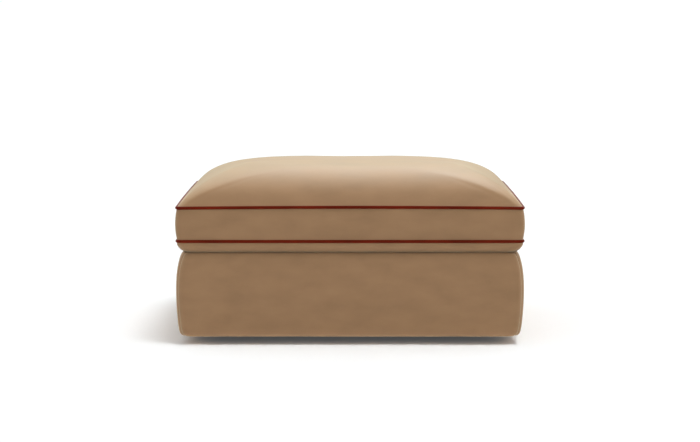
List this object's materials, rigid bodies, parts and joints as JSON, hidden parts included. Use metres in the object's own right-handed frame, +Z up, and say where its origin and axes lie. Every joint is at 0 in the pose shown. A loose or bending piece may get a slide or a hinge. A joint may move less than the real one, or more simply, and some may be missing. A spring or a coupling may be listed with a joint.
{
  "type": "ottoman",
  "caption": "Rectangular upholstered ottoman with a crowned loose box cushion, contrast piping and a plain padded base on low recessed feet.",
  "frame": {"origin": "centre of the footprint, on the floor under the feet", "axes": "+Z up, -Y to the front (the face away from the cushion's zip), +X to the right seen from the front"},
  "size_m": [0.914, 0.711, 0.4564],
  "materials": {
    "rail_wood": "sawn and planed softwood",
    "block_wood": "sawn",
    "foot_black": "black stain, satin",
    "glide_nylon": "matt",
    "zinc_steel": "zinc plated",
    "spring_steel": "oiled, satin",
    "clip_steel": "black phosphate",
    "hessian": "open plain weave",
    "foam": "open cell, matt",
    "wadding": "soft, matt",
    "velvet": "short pile velvet with a pale sheen",
    "piping_rust": "short pile velvet, dark rust red",
    "dust_cloth": "non-woven, matt",
    "zip_tape": "woven, matt",
    "zip_coil": "semi gloss",
    "zip_metal": "satin enamel"
  },
  "bodies": {
    "base": {"front_rail": "rail_wood", "rear_rail": "rail_wood", "left_rail": "rail_wood", "right_rail": "rail_wood", "centre_stretcher": "rail_wood", "corner_block_front_left": "block_wood", "corner_block_front_right": "block_wood", "corner_block_rear_left": "block_wood", "corner_block_rear_right": "block_wood", "foot_front_left": "foot_black", "foot_front_right": "foot_black", "foot_rear_left": "foot_black", "foot_rear_right": "foot_black", "foot_glides": "glide_nylon", "foot_bolts": "zinc_steel", "tee_nuts": "zinc_steel", "frame_screws": "zinc_steel", "spring_1": "spring_steel", "spring_2": "spring_steel", "spring_3": "spring_steel", "spring_4": "spring_steel", "spring_5": "spring_steel", "spring_clips": "clip_steel", "clip_nails": "zinc_steel", "spring_tie_wires": "spring_steel", "spring_cover": "hessian", "deck_foam": "foam", "padding_front": "wadding", "padding_rear": "wadding", "padding_left": "wadding", "padding_right": "wadding", "cover_front": "velvet", "cover_rear": "velvet", "cover_left": "velvet", "cover_right": "velvet", "deck_cover": "velvet", "dust_cover": "dust_cloth"},
    "cushion": {"foam_core": "foam", "wadding_top": "wadding", "wadding_bottom": "wadding", "wadding_front": "wadding", "wadding_rear": "wadding", "wadding_left": "wadding", "wadding_right": "wadding", "top_panel": "velvet", "bottom_panel": "velvet", "front_band": "velvet", "rear_band_upper": "velvet", "rear_band_lower": "velvet", "upper_piping": "piping_rust", "lower_piping": "piping_rust", "zip_tapes": "zip_tape", "zip_coils": "zip_coil", "zip_stops": "zip_coil"},
    "zip_slider": {"zip_slider": "zip_metal"},
    "zip_pull": {"zip_pull": "zip_metal"}
  },
  "joints": [
    {"name": "cushion_lift", "type": "slide", "parent": "base", "child": "cushion", "axis": [0, 0, 1], "range_m": [0, 0.3]},
    {"name": "zip_slide", "type": "slide", "parent": "cushion", "child": "zip_slider", "axis": [-1, 0, 0], "range_m": [0, 0.621]},
    {"name": "pull_swing", "type": "hinge", "parent": "zip_slider", "child": "zip_pull", "pos_m": [0.3107, 0.3535, 0.31965], "axis": [0, 0, -1], "range_deg": [0, 175]}
  ]
}
